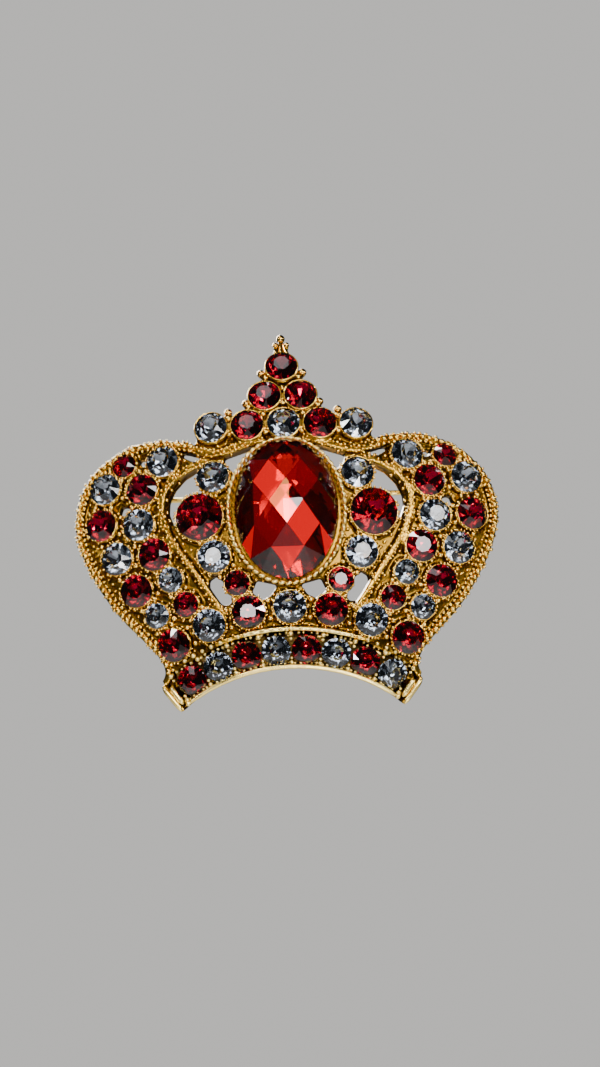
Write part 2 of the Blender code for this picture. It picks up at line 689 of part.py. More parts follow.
def build_catch_roller():
    """The roller turns in the housing to close it. Its origin is on the pin's axis."""
    half = HOUSING_LENGTH / 2 + SIDE_GAP
    profile = [(ROLLER_FLANGE, half + FLANGE_THICKNESS), (ROLLER_FLANGE, half), (ROLLER_RADIUS, half),
               (ROLLER_RADIUS, -half), (ROLLER_FLANGE, -half), (ROLLER_FLANGE, -half - FLANGE_THICKNESS)]
    barrel = turned("catch_roller", profile, 28)
    barrel.transform(ALONG_X)
    spot = Matrix.Translation((FITTING_X * MM, 0.0, 0.0))
    roller = place("catch_roller", barrel, gold(), spot)
    tab = box("tab", (half + 0.02, ROLLER_BORE + 0.2, -TAB_WIDTH / 2),
              (half + FLANGE_THICKNESS - 0.02, TAB_REACH, TAB_WIDTH / 2))
    tab.transform(Matrix.Rotation(TAB_ANGLE, 4, "X"))
    combine(roller, "UNION", group("tab", [tab], [spot]))
    slot = keyhole("roller_slot", ROLLER_BORE, ROLLER_BORE * 0.97, 4.0, -5.0, 5.0)
    combine(roller, "DIFFERENCE", group("roller_slot", [slot], [spot]))


def main():
    for thing in list(bpy.data.objects):
        bpy.data.objects.remove(thing)
    build_frame()
    build_oval_stone()
    build_round_stones()
    build_band_stones()
    build_pin_joint()
    build_hinge_rivet()
    build_pin_stem()
    build_catch_base()
    build_catch_roller()


main()
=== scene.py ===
"""Looks of the crown brooch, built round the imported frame.

The casting, the stones and every bead are placed on the dome that the CAD frame was laid over.
Sizes are in millimetres until they become vertices.
"""
import json
import math
import random

import bmesh
import bpy
from mathutils import Matrix, Vector
from mathutils.bvhtree import BVHTree


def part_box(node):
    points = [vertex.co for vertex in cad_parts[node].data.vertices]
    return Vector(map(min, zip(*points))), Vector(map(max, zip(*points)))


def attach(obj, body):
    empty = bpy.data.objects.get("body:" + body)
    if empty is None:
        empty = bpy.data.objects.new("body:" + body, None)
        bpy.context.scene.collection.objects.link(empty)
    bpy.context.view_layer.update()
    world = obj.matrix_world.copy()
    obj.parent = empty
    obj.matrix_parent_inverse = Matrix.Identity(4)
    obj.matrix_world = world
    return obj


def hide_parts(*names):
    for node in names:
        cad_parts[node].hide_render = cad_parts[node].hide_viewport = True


MM = 0.001

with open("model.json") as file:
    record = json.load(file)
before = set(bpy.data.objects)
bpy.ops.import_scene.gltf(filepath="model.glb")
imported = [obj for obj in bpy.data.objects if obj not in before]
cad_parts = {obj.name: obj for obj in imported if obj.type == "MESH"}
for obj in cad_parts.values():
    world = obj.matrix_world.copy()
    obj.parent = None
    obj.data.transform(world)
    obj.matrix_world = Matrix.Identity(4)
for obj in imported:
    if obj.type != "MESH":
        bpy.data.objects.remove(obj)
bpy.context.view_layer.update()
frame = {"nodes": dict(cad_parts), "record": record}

# ---------------------------------------------------------------- driving values

DOME_RADIUS = 80.0
PIN_LEVEL = 3.9
OVAL_BACK = 1.7
DOME_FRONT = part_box("oval_stone")[1].y / MM - OVAL_BACK
DOME_CENTRE = Vector((0.0, DOME_FRONT + DOME_RADIUS, -PIN_LEVEL)) * MM

# Oval stone and its bezel
OVAL_HALF_WIDTH = 6.5
OVAL_HALF_HEIGHT = 9.0
OVAL_CENTRE = 0.15
BEZEL_SIDE = 1.05
BEZEL_END = 0.7
BEZEL_TOP = 0.5
ROPE_CENTRE = 0.05
ROPE_HALF_WIDTH = 7.46
ROPE_HALF_HEIGHT = 9.60

# Band along the lower edge; the rails' and bars' places are radii about its centre
BAND_CENTRE = -44.0
BAND_RADIUS = 26.1
BAND_PITCH = 3.88
BAND_COUNT = 8
BAND_STONE = 3.5
LOWER_RAIL = 23.95
UPPER_RAIL = 28.7
RAIL_HEIGHT = 0.30
RAIL_RADIUS = 0.30
RAIL_END = 0.34
RAIL_STEPS = 48
RAILS = ((UPPER_RAIL, -0.205, -0.017), (UPPER_RAIL, 0.004, 0.275), (LOWER_RAIL, -0.60, 0.60))
# Angles of the beads that carry on the upper rail's line at both sides
RAIL_BEADS = (-0.50, -0.455, -0.41, -0.365, -0.32, -0.275, -0.235, 0.31, 0.35, 0.395, 0.44, 0.485)
# Fillers: small beads along both rails, out to an angle on each side
FILLERS = 90
FILLER_REACH = 0.61
BAR_HEIGHT = 0.34
BAR_RADIUS = 0.35
BAR_STEPS = 12
OUTER_BAR = (math.radians(37.4), 23.72, 27.60)
INNER_BAR = (math.radians(35.75), 24.3, 27.0)

# Lines of the casting that carry beads, on the right; the left side mirrors them
WING_EDGE = [(12.2, 10.0), (15.4, 10.6), (19.3, 10.55), (23.1, 9.1), (26.35, 6.4), (28.1, 2.6), (28.2, -1.5),
             (26.4, -6.4), (23.1, -11.75), (19.5, -15.7), (17.2, -18.3), (16.5, -20.2)]
# Rows of edge beads: distance inside the edge, pitch, smallest and largest radius, height
EDGE_ROWS = ((0.50, 0.88, 0.33, 0.40, -0.02), (1.10, 0.72, 0.20, 0.27, -0.12))
SPIRE_BEADS = [(2.8, 19.75), (4.9, 15.2), (7.3, 14.0)]
FINIAL_FOOT, FINIAL_TOP = 23.1, 25.65
FINIAL_SIDES = (0.75, 24.5)


# ---------------------------------------------------------------- dome and lines

def dome_point(u, v, height=0.0):
    """A point of the flat pattern laid over the dome, in the row frame in metres."""
    reach = math.hypot(u, v)
    radius = DOME_RADIUS + height
    spread = radius * math.sin(reach / DOME_RADIUS) / reach if reach > 1e-9 else radius / DOME_RADIUS
    back = -radius * math.cos(reach / DOME_RADIUS)
    return DOME_CENTRE + Vector((u * spread, back, v * spread)) * MM


def dome_frame(u, v, height=0.0, turn=0.0):
    """Placement on the dome: local +Z out of the front, +X along the pattern's u, then turned by an angle."""
    return seat_at(dome_point(u, v, height), turn)


def seat_at(point, turn=0.0):
    """Placement at a point: local +Z away from the dome's centre, then turned by an angle."""
    outward = (point - DOME_CENTRE).normalized()
    right = (Vector((1.0, 0.0, 0.0)) - outward.x * outward).normalized()
    rotation = Matrix((right, outward.cross(right), outward)).transposed().to_4x4()
    return Matrix.Translation(point) @ rotation @ Matrix.Rotation(turn, 4, "Z")


def smooth_line(points, steps):
    """Points along a smooth curve that passes through the given ones."""
    line = []
    for index in range(len(points) - 1):
        before = points[max(index - 1, 0)]
        start, end = points[index], points[index + 1]
        after = points[min(index + 2, len(points) - 1)]
        for step in range(steps):
            t = step / steps
            line.append(tuple(
                0.5 * (2 * b + (c - a) * t + (2 * a - 5 * b + 4 * c - d) * t ** 2
                       + (3 * b - a - 3 * c + d) * t ** 3)
                for a, b, c, d in zip(before, start, end, after)))
    return line + [points[-1]]


def mirrored(points):
    """The same points on the other side."""
    return [(-u, v) for u, v in points]


def spaced(line, pitch):
    """(u, v, direction) at even steps along a line."""
    lengths = [math.dist(a, b) for a, b in zip(line, line[1:])]
    count = max(1, round(sum(lengths) / pitch))
    step = sum(lengths) / count
    found, travelled, index = [], 0.0, 0
    for place in range(count + 1):
        wanted = min(place * step, sum(lengths) - 1e-9)
        while index < len(lengths) - 1 and travelled + lengths[index] < wanted:
            travelled += lengths[index]
            index += 1
        share = (wanted - travelled) / lengths[index]
        (u, v), (p, q) = line[index], line[index + 1]
        found.append((u + (p - u) * share, v + (q - v) * share, math.atan2(q - v, p - u)))
    return found


def inset(line, distance):
    """The line moved to its right-hand side."""
    moved = []
    for index, (u, v) in enumerate(line):
        before, after = line[max(index - 1, 0)], line[min(index + 1, len(line) - 1)]
        along = Vector((after[0] - before[0], after[1] - before[1])).normalized()
        moved.append((u + along.y * distance, v - along.x * distance))
    return moved


def band_point(radius, angle):
    """The flat pattern's (u, v) at a radius and an angle about the band's centre."""
    return radius * math.sin(angle), BAND_CENTRE + radius * math.cos(angle)


def band_arc(radius, start, end, count):
    return [band_point(radius, start + (end - start) * index / (count - 1)) for index in range(count)]


# ---------------------------------------------------------------- materials

def new_material(name):
    made = bpy.data.materials.new(name)
    made.use_nodes = True
    return made, made.node_tree.nodes["Principled BSDF"]


def settings(node, **values):
    """Sets a node's inputs, with an underscore for each space in a name."""
    for name, value in values.items():
        node.inputs[name.replace("_", " ")].default_value = value


def noise(tree, place, scale, detail=2.0):
    """A noise pattern in the piece's own coordinates."""
    pattern = tree.nodes.new("ShaderNodeTexNoise")
    settings(pattern, Scale=scale, Detail=detail)
    tree.links.new(place.outputs["Object"], pattern.inputs["Vector"])
    return pattern.outputs["Fac"]


def blend(tree, share, first, second):
    """A mix of two colours by a share; a colour is a plain one or another node's output."""
    mix = tree.nodes.new("ShaderNodeMix")
    mix.data_type = "RGBA"
    tree.links.new(share, mix.inputs[0])
    for socket, colour in ((mix.inputs[6], first), (mix.inputs[7], second)):
        if isinstance(colour, tuple):
            socket.default_value = (*colour, 1.0)
        else:
            tree.links.new(colour, socket)
    return mix.outputs[2]


def risen(tree, place, low, high):
    """From 0 to 1 between two heights over the dome, in millimetres."""
    away = tree.nodes.new("ShaderNodeVectorMath")
    away.operation = "DISTANCE"
    away.inputs[1].default_value = DOME_CENTRE
    tree.links.new(place.outputs["Object"], away.inputs[0])
    level = tree.nodes.new("ShaderNodeMapRange")
    level.interpolation_type = "SMOOTHSTEP"
    settings(level, From_Min=(DOME_RADIUS + low) * MM, From_Max=(DOME_RADIUS + high) * MM)
    tree.links.new(away.outputs["Value"], level.inputs["Value"])
    return level.outputs["Result"]


# Heights between which the casting's painted shade in the hollows gives way to its bright colour at the cups'
# tops, and at which the plate's back takes its own colour
PAINTED_SHADE_LEVELS = (-1.4, 0.55)
BACK_LEVELS = (-2.3, -1.8)
PATCH_SCALE = 420.0
GRAIN_DEPTH = 0.05


def gold(name, bright, dark_patch_and_shade, roughness, grain, grain_scale, back=None):
    """Gold plate with patchy roughness and a fine cast grain.

    With a colour for the back, it also has painted shade: it darkens from the cups' tops down to the plate
    between them.
    """
    made, shader = new_material(name)
    tree = made.node_tree
    settings(shader, Metallic=1.0)
    place = tree.nodes.new("ShaderNodeTexCoord")
    patches = noise(tree, place, PATCH_SCALE, 4.0)
    rough = tree.nodes.new("ShaderNodeMapRange")
    settings(rough, To_Min=roughness * 0.6, To_Max=roughness * 1.5)
    tree.links.new(patches, rough.inputs["Value"])
    tree.links.new(rough.outputs["Result"], shader.inputs["Roughness"])
    if back:
        # Painted shade: dark in the hollows, bright at the cups' tops
        front = blend(tree, risen(tree, place, *PAINTED_SHADE_LEVELS), dark_patch_and_shade, bright)
        colour = blend(tree, risen(tree, place, *BACK_LEVELS), back, front)
    else:
        # Random patches of a darker tone, not shade
        colour = blend(tree, patches, dark_patch_and_shade, bright)
    tree.links.new(colour, shader.inputs["Base Color"])
    bump = tree.nodes.new("ShaderNodeBump")
    settings(bump, Strength=grain, Distance=GRAIN_DEPTH * MM)
    tree.links.new(noise(tree, place, grain_scale, 3.0), bump.inputs["Height"])
    tree.links.new(bump.outputs["Normal"], shader.inputs["Normal"])
    return made


GLASS_IOR = 1.58


def cut_glass(name, colour):
    """The clear or tinted body of a stone."""
    made, shader = new_material(name)
    settings(shader, Base_Color=(*colour, 1.0), Roughness=0.0, IOR=GLASS_IOR, Transmission_Weight=1.0)
    return made


def painted_facet_glass(name, colour, clear):
    """A facet with painted light: its set colour and clearness stand for the foil behind it lit up, for a
    glint, or dim, for shade.
    """
    made, shader = new_material(name)
    settings(shader, Base_Color=(*colour, 1.0), Roughness=0.03, IOR=GLASS_IOR, Transmission_Weight=clear,
             Specular_IOR_Level=0.25)
    return made


def foil(name, bright, dull, scale):
    """The mirror coating behind a stone, with a faint clouding."""
    made, shader = new_material(name)
    tree = made.node_tree
    settings(shader, Metallic=1.0, Roughness=0.06)
    cloud = noise(tree, tree.nodes.new("ShaderNodeTexCoord"), scale)
    tree.links.new(blend(tree, cloud, dull, bright), shader.inputs["Base Color"])
    return made


# The cast gold, with painted shade in the hollows between the cups
SHADE_PAINTED_CAST_GOLD = gold("cast_gold_painted_shade_looks", (0.60, 0.34, 0.03), (0.12, 0.062, 0.006), 0.22, 0.40, 2200.0,
                 back=(0.72, 0.47, 0.13))
BEAD_GOLD = gold("bead_gold_looks", (0.90, 0.61, 0.13), (0.62, 0.35, 0.05), 0.12, 0.15, 1500.0)
WIRE_GOLD = gold("wire_gold_looks", (1.0, 0.79, 0.28), (0.95, 0.68, 0.16), 0.27, 0.10, 900.0)
FITTING_GOLD = gold("fitting_gold_looks", (0.95, 0.66, 0.22), (0.75, 0.48, 0.11), 0.22, 0.12, 1200.0)
BALL_GOLD = gold("ball_gold_looks", (0.80, 0.47, 0.09), (0.55, 0.28, 0.05), 0.09, 0.05, 900.0)
RED_GLASS = cut_glass("red_glass_looks", (0.50, 0.015, 0.085))
RED_FOIL = foil("red_foil_looks", (0.57, 0.13, 0.22), (0.18, 0.03, 0.09), 700.0)
OVAL_GLASS = cut_glass("oval_glass_looks", (0.74, 0.012, 0.022))
OVAL_FOIL = foil("oval_foil_looks", (0.85, 0.16, 0.12), (0.40, 0.05, 0.06), 260.0)
# Painted glint and painted shade for chosen facets of the oval stone
PAINTED_GLINT_GLASS = painted_facet_glass("painted_glint_glass_looks", (0.56, 0.0015, 0.004), 0.15)
PAINTED_SHADE_GLASS = painted_facet_glass("painted_shade_glass_looks", (0.22, 0.002, 0.006), 0.60)
CLEAR_GLASS = cut_glass("clear_glass_looks", (0.79, 0.83, 0.88))
CLEAR_FOIL = foil("clear_foil_looks", (0.53, 0.555, 0.59), (0.18, 0.195, 0.225), 700.0)


# ---------------------------------------------------------------- mesh helpers

def new_piece(name, mesh, looks, body="crown", slot="cast_gold"):
    for look in looks:
        mesh.materials.append(look)
    piece = bpy.data.objects.new(name, mesh)
    bpy.context.scene.collection.objects.link(piece)
    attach(piece, body)
    return piece


def finished(shape, name, smooth=True):
    mesh = bpy.data.meshes.new(name)
    shape.to_mesh(mesh)
    shape.free()
    if smooth:
        mesh.shade_smooth()
    return mesh


def ball_pattern(subdivisions):
    shape = bmesh.new()
    bmesh.ops.create_icosphere(shape, subdivisions=subdivisions, radius=1.0)
    points = [vertex.co.copy() for vertex in shape.verts]
    faces = [tuple(vertex.index for vertex in face.verts) for face in shape.faces]
    shape.free()
    return points, faces


SMALL_BALL, ROUND_BALL = ball_pattern(2), ball_pattern(3)


class Trim:
    """Many closed balls, tubes and rings that become one mesh."""

    def __init__(self):
        self.vertices, self.faces = [], []

    def ball(self, matrix, radii, pattern=SMALL_BALL):
        """One bead: a ball stretched along its own axes."""
        start = len(self.vertices)
        placed = matrix @ Matrix.Diagonal((*(radius * MM for radius in radii), 1.0))
        self.vertices += [placed @ point for point in pattern[0]]
        self.faces += [tuple(start + index for index in face) for face in pattern[1]]

    def bead(self, matrix, radius, pattern=SMALL_BALL):
        """A round bead."""
        self.ball(matrix, (radius, radius, radius), pattern)

    def tube(self, points, radii, sides=10):
        """A closed tube through world points, with a radius for each."""
        rings = []
        for index, point in enumerate(points):
            along = (points[min(index + 1, len(points) - 1)] - points[max(index - 1, 0)]).normalized()
            across = along.cross((point - DOME_CENTRE).normalized()).normalized()
            up = across.cross(along)
            rings.append(len(self.vertices))
            for side in range(sides):
                angle = math.tau * side / sides
                out = across * math.cos(angle) + up * math.sin(angle)
                self.vertices.append(point + out * radii[index] * MM)
        for lower, upper in zip(rings, rings[1:]):
            for side in range(sides):
                after = (side + 1) % sides
                self.faces.append((lower + side, upper + side, upper + after, lower + after))
        self.faces.append(tuple(range(rings[0], rings[0] + sides)))
        self.faces.append(tuple(range(rings[-1] + sides - 1, rings[-1] - 1, -1)))

    def ring(self, matrix, reach, height, wide, tall, around=40, sides=6):
        """A closed ring round a placement's axis, of an oval section."""
        start = len(self.vertices)
        for step in range(around):
            angle = math.tau * step / around
            for side in range(sides):
                turn = math.tau * side / sides
                out = reach + wide * math.cos(turn)
                place = (out * math.cos(angle), out * math.sin(angle), height + tall * math.sin(turn))
                self.vertices.append(matrix @ (Vector(place) * MM))
        for step in range(around):
            here, after = start + step * sides, start + (step + 1) % around * sides
            for side in range(sides):
                other = (side + 1) % sides
                self.faces.append((here + side, after + side, after + other, here + other))

    def piece(self, name, look, slot="cast_gold"):
        mesh = bpy.data.meshes.new(name)
        mesh.from_pydata(self.vertices, [], self.faces)
        mesh.shade_smooth()
        return new_piece(name, mesh, (look,), slot=slot)


def rounded(radius, count):
    """Radii that close a tube's ends round."""
    ends = [0.35, 0.75, 0.95]
    middle = [1.0] * (count - 2 * len(ends))
    return [radius * share for share in ends + middle + ends[::-1]]


# ---------------------------------------------------------------- stones

class Seat:
    """Where a CAD stone sits: its girdle's centre, radius and placement, read from its mesh."""

    def __init__(self, node):
        points = [vertex.co.copy() for vertex in frame["nodes"][node].data.vertices]
        middle = sum(points, Vector()) / len(points)
        axis = (middle - DOME_CENTRE).normalized()
        self.name = node
        self.centre = DOME_CENTRE + axis * DOME_RADIUS * MM
        self.radius = max((point - DOME_CENTRE).cross(axis).length for point in points) / MM


def pattern_place(point):
    """The flat pattern's (u, v) of a point on the dome."""
    away = point - DOME_CENTRE
    reach = math.acos(max(-1.0, min(1.0, -away.y / away.length))) * DOME_RADIUS
    across = math.hypot(away.x, away.z)
    return (away.x / across * reach, away.z / across * reach) if across > 1e-9 else (0.0, 0.0)


def chaton(radius):
    """A foiled round stone: octagonal table, 24 crown facets, thin girdle and a pointed back."""
    shape = bmesh.new()
    table_radius, table_height = 0.50 * radius, 0.40 * radius
    girdle = 0.035 * radius

    def ring(share, height, count, start):
        points = []
        for index in range(count):
            angle = math.tau * (index + start) / count
            place = (share * math.cos(angle), share * math.sin(angle), height)
            points.append(shape.verts.new(Vector(place) * MM))
        return points

    table = ring(table_radius, table_height, 8, 0.5)
    upper = ring(radius, girdle, 16, 0.0)
    lower = ring(radius, -girdle, 16, 0.0)
    waist = ring(0.50 * radius, -0.46 * radius, 8, 0.0)
    culet = shape.verts.new(Vector((0.0, 0.0, -0.78 * radius)) * MM)
    glass, back = [shape.faces.new(table)], []
    for index in range(8):
        after = (index + 1) % 8
        left, corner, mid = upper[2 * index], upper[2 * index + 1], upper[(2 * index + 2) % 16]
        glass.append(shape.faces.new((table[index], mid, table[after])))
        glass.append(shape.faces.new((table[index], corner, mid)))
        glass.append(shape.faces.new((table[index], left, corner)))
        low_left, low_corner, low_mid = lower[2 * index], lower[2 * index + 1], lower[(2 * index + 2) % 16]
        back.append(shape.faces.new((low_left, low_corner, waist[index])))
        back.append(shape.faces.new((low_corner, low_mid, waist[after])))
        back.append(shape.faces.new((low_corner, waist[after], waist[index])))
        back.append(shape.faces.new((waist[index], waist[after], culet)))
    for index in range(16):
        after = (index + 1) % 16
        glass.append(shape.faces.new((upper[index], lower[index], lower[after], upper[after])))
    for face in back:
        face.material_index = 1
    bmesh.ops.recalc_face_normals(shape, faces=shape.faces)
    return finished(shape, "chaton", smooth=False)


def stone_looks(colour):
    return (RED_GLASS, RED_FOIL) if colour == "red" else (CLEAR_GLASS, CLEAR_FOIL)


# How far the stones reach over their seats
ROUND_COVER = 1.02
BAND_COVER = 1.08
OVAL_COVER = 1.03
# Stones that sit square in their cups and so flash towards the front lights
SQUARE_SET = ("right_wing_stone_06", "right_wing_stone_09", "left_inner_stone_3", "right_inner_stone_3",
              "left_inner_stone_5")


def build_round_stones(dice):
    seats = []
    for entry in frame["record"]["subparts"]:
        node, slot = entry["node"], entry["material_slot"]
        if slot not in ("red_glass", "clear_glass"):
            continue
        seat = Seat(node)
        seats.append(seat)
        mesh = chaton(seat.radius * ROUND_COVER)
        piece = new_piece(node + "_cut", mesh, stone_looks(slot.split("_")[0]), slot=slot)
        slack = 0.3 if node in SQUARE_SET else 3.0
        tilt = Matrix.Rotation(math.radians(dice.uniform(-slack, slack)), 4, "X")
        tilt @= Matrix.Rotation(math.radians(dice.uniform(-slack, slack)), 4, "Y")
        piece.matrix_world = seat_at(seat.centre, dice.uniform(0.0, math.tau)) @ tilt
        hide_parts(node)
    return seats


def build_band_stones(dice):
    """The band's stones in turn red and clear; the first stands for the CAD's joined row."""
    for index in range(BAND_COUNT):
        angle = (index - (BAND_COUNT - 1) / 2) * BAND_PITCH / BAND_RADIUS
        colour = "red" if index % 2 == 0 else "clear"
        mesh = chaton(BAND_STONE / 2 * BAND_COVER)
        piece = new_piece("band_stone_" + str(index + 1), mesh, stone_looks(colour), slot=colour + "_glass")
        tilt = Matrix.Rotation(math.radians(dice.uniform(-4.0, 4.0)), 4, "X")
        turn = dice.uniform(0.0, math.tau)
        piece.matrix_world = dome_frame(*band_point(BAND_RADIUS, angle), 0.0, turn) @ tilt
        if index == 0:
            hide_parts("band_stones")


# Middles of the oval stone's facets with a painted glint, then of those with painted shade, in steps of its
# net across and up
GLINT_PAINTED_FACETS = [(-0.96, 0.96), (0.96, -0.96), (0.0, -2.2), (-2.2, -1.52), (2.2, -1.52)]
SHADE_PAINTED_FACETS = [(-0.96, -0.96), (-1.59, 0.0), (-1.65, 1.65), (0.96, 0.96), (0.0, -1.59), (-1.65, -1.65)]
FACET_MATCH = 0.2


def build_oval_stone():
    """Checkerboard cut: a rhombic net on a dome, flat facets between, and a stepped foiled back."""
    shape = bmesh.new()
    net, rise = 0.335, 4.2
    points = []
    for column in range(-4, 5):
        for row in range(-4, 5):
            draw = 1.0 - 0.022 * math.hypot(column, row)
            x, y = column * net * draw, row * net * draw
            reach = math.hypot(x, y)
            if (column + row) % 2 == 0 or reach > 0.95:
                continue
            points.append((x, y, rise * (1.0 - reach ** 2) ** 0.62))
    for index in range(24):
        angle = math.tau * index / 24
        points.append((math.cos(angle), math.sin(angle), 0.0))
    for x, y, height in points:
        shape.verts.new(Vector((x * OVAL_HALF_WIDTH, y * OVAL_HALF_HEIGHT, BEZEL_TOP + height)) * MM)
    for share, height, count in ((OVAL_COVER, BEZEL_TOP - 0.1, 24), (OVAL_COVER, BEZEL_TOP - 0.5, 24),
                                 (0.7, -0.7, 12), (0.36, -OVAL_BACK, 12)):
        for index in range(count):
            angle = math.tau * (index + 0.5 * (count == 12)) / count
            place = (share * OVAL_HALF_WIDTH * math.cos(angle), share * OVAL_HALF_HEIGHT * math.sin(angle),
                     height)
            shape.verts.new(Vector(place) * MM)
    hull = bmesh.ops.convex_hull(shape, input=shape.verts)
    loose = [part for part in hull["geom_interior"] if isinstance(part, bmesh.types.BMVert)]
    bmesh.ops.delete(shape, geom=loose, context="VERTS")
    bmesh.ops.dissolve_limit(shape, angle_limit=math.radians(3.0), verts=shape.verts, edges=shape.edges)
    bmesh.ops.recalc_face_normals(shape, faces=shape.faces)
    for face in shape.faces:
        middle = face.calc_center_median() / MM
        place = (middle.x / (net * OVAL_HALF_WIDTH), middle.y / (net * OVAL_HALF_HEIGHT))
        if middle.z < BEZEL_TOP - 0.2:
            face.material_index = 1
        # Facets with a painted glint, then facets with painted shade
        elif any(math.dist(place, lit) < FACET_MATCH for lit in GLINT_PAINTED_FACETS):
            face.material_index = 2
        elif any(math.dist(place, dim) < FACET_MATCH for dim in SHADE_PAINTED_FACETS):
            face.material_index = 3
    mesh = finished(shape, "oval_stone_cut", smooth=False)
    piece = new_piece("oval_stone_cut", mesh, (OVAL_GLASS, OVAL_FOIL, PAINTED_GLINT_GLASS, PAINTED_SHADE_GLASS), slot="oval_red")
    piece.matrix_world = dome_frame(0.0, OVAL_CENTRE)
    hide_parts("oval_stone")


# ---------------------------------------------------------------- casting

# How far the bezel's lip is lowered under the rope, the share of the bezel's outline that granules keep
# outside, and the size of the remeshed casting's voxels
LIP_DROP = 0.8
BEZEL_CLEAR = 1.03
CAST_FINENESS = 0.19


def in_bezel(u, v, share):
    """Whether a place lies inside the bezel's outline, drawn larger or smaller by a share."""
    across = u / (OVAL_HALF_WIDTH + BEZEL_SIDE)
    up = (v - OVAL_CENTRE) / (OVAL_HALF_HEIGHT + BEZEL_END)
    return math.hypot(across, up) < share


def build_casting():
    """The casting's own shape, remeshed finely so that every edge is as soft as a casting's."""
    source = frame["nodes"]["crown_frame"]
    piece = new_piece("casting", source.data.copy(), ())
    piece.data.materials.clear()
    piece.data.materials.append(SHADE_PAINTED_CAST_GOLD)
    # The bezel's lip is sunk under the rope, down where the casting's painted shade darkens it
    for vertex in piece.data.vertices:
        outward = vertex.co - DOME_CENTRE
        if outward.length > (DOME_RADIUS + 0.2) * MM and in_bezel(*pattern_place(vertex.co), 1.05):
            vertex.co = DOME_CENTRE + outward.normalized() * (DOME_RADIUS - LIP_DROP) * MM
    remesh = piece.modifiers.new("cast_surface", "REMESH")
    remesh.mode = "VOXEL"
    remesh.voxel_size = CAST_FINENESS * MM
    remesh.use_smooth_shade = True
    soften = piece.modifiers.new("soft_edges", "SMOOTH")
    soften.factor = 0.5
    soften.iterations = 2
    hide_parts("crown_frame")


def build_cup_rims(seats):
    """The thin turned lip of each cup round its stone's girdle."""
    trim = Trim()
    for seat in seats:
        thick = 0.11 if "spire" in seat.name else 0.06
        trim.ring(seat_at(seat.centre), seat.radius + thick, -0.12, thick, 0.15)
    trim.piece("cup_rims", BEAD_GOLD)


def build_cup_granules(seats, dice):
    """The granules that crowd round the cups of the wings and the middle, with gaps here and there."""
    trim = Trim()
    for seat in seats:
        if "spire" in seat.name:
            continue
        count = round(math.tau * (seat.radius + 0.2) / 0.44)
        for index in range(count):
            if dice.random() < 0.3:
                continue
            angle = math.tau * (index + dice.uniform(-0.2, 0.2)) / count
            reach, size = seat.radius + dice.uniform(0.16, 0.30), dice.uniform(0.13, 0.21)
            place = Matrix.Translation(Vector((reach * math.cos(angle), reach * math.sin(angle), -0.12)) * MM)
            trim.bead(seat_at(seat.centre) @ place, size)
    trim.piece("cup_granules", BEAD_GOLD)


def surface_finder():
    """Looks down on the CAD casting: the height of its surface at a place, or nothing over an opening."""
    mesh = frame["nodes"]["crown_frame"].data
    tree = BVHTree.FromPolygons([vertex.co for vertex in mesh.vertices],
                                [tuple(face.vertices) for face in mesh.polygons])
    start, reach = 3.0, 5.2

    def height_at(u, v):
        above = dome_point(u, v, start)
        hit, _, _, distance = tree.ray_cast(above, (DOME_CENTRE - above).normalized(), reach * MM)
        return None if hit is None else start - distance / MM

    return height_at


def build_grain_beads(seats, dice, height_at):
    """The raised grains in the hollows between neighbouring stones."""
    places = [(*pattern_place(seat.centre), seat.radius) for seat in seats]
    found = []
    for first, (u, v, radius) in enumerate(places):
        for p, q, other in places[first + 1:]:
            apart = math.hypot(u - p, v - q)
            if apart - radius - other > 1.3:
                continue
            share = (radius + (apart - radius - other) / 2) / apart
            middle = (u + (p - u) * share, v + (q - v) * share)
            across = ((v - q) / apart, (p - u) / apart)
            for side in (-1.15, 1.15):
                found.append((middle[0] + across[0] * side, middle[1] + across[1] * side))
    kept = []
    trim = Trim()
    for u, v in found:
        gap = min(math.hypot(u - p, v - q) - radius for p, q, radius in places)
        height = height_at(u, v)
        crowded = any(math.dist((u, v), other) < 0.7 for other in kept)
        if gap < 0.2 or in_bezel(u, v, BEZEL_CLEAR) or height is None or crowded:
            continue
        kept.append((u, v))
        size = min(0.38, max(0.24, gap * 0.75)) * dice.uniform(0.9, 1.1)
        trim.ball(dome_frame(u, v, -0.25), (size, size, size * 1.1))
        trim.ball(dome_frame(u, v, (height - 0.25) / 2 - 0.1), (size * 0.75, size * 0.75, 0.7))
    trim.piece("grain_beads", BEAD_GOLD)
    return kept


# The ground that granules are tried on
GROUND_ACROSS = (-28.4, 28.4)
GROUND_UP = (-21.5, 12.5)


def scatter(dice, pitch, tries, allowed, taken):
    """Random places at least a pitch from one another and from those taken before."""
    cells = {}
    for place in taken:
        cells.setdefault((math.floor(place[0] / pitch), math.floor(place[1] / pitch)), []).append(place)
    found = []
    for _ in range(tries):
        u, v = dice.uniform(*GROUND_ACROSS), dice.uniform(*GROUND_UP)
        column, row = math.floor(u / pitch), math.floor(v / pitch)
        near = [other for i in (-1, 0, 1) for j in (-1, 0, 1)
                for other in cells.get((column + i, row + j), ())]
        if any(math.dist((u, v), other) < pitch for other in near) or not allowed(u, v):
            continue
        cells.setdefault((column, row), []).append((u, v))
        found.append((u, v))
    return found


# Heights that tell the plate in the hollows from the raised borders
PLATE_LEVEL = -1.6
BORDER_LEVEL = -0.9


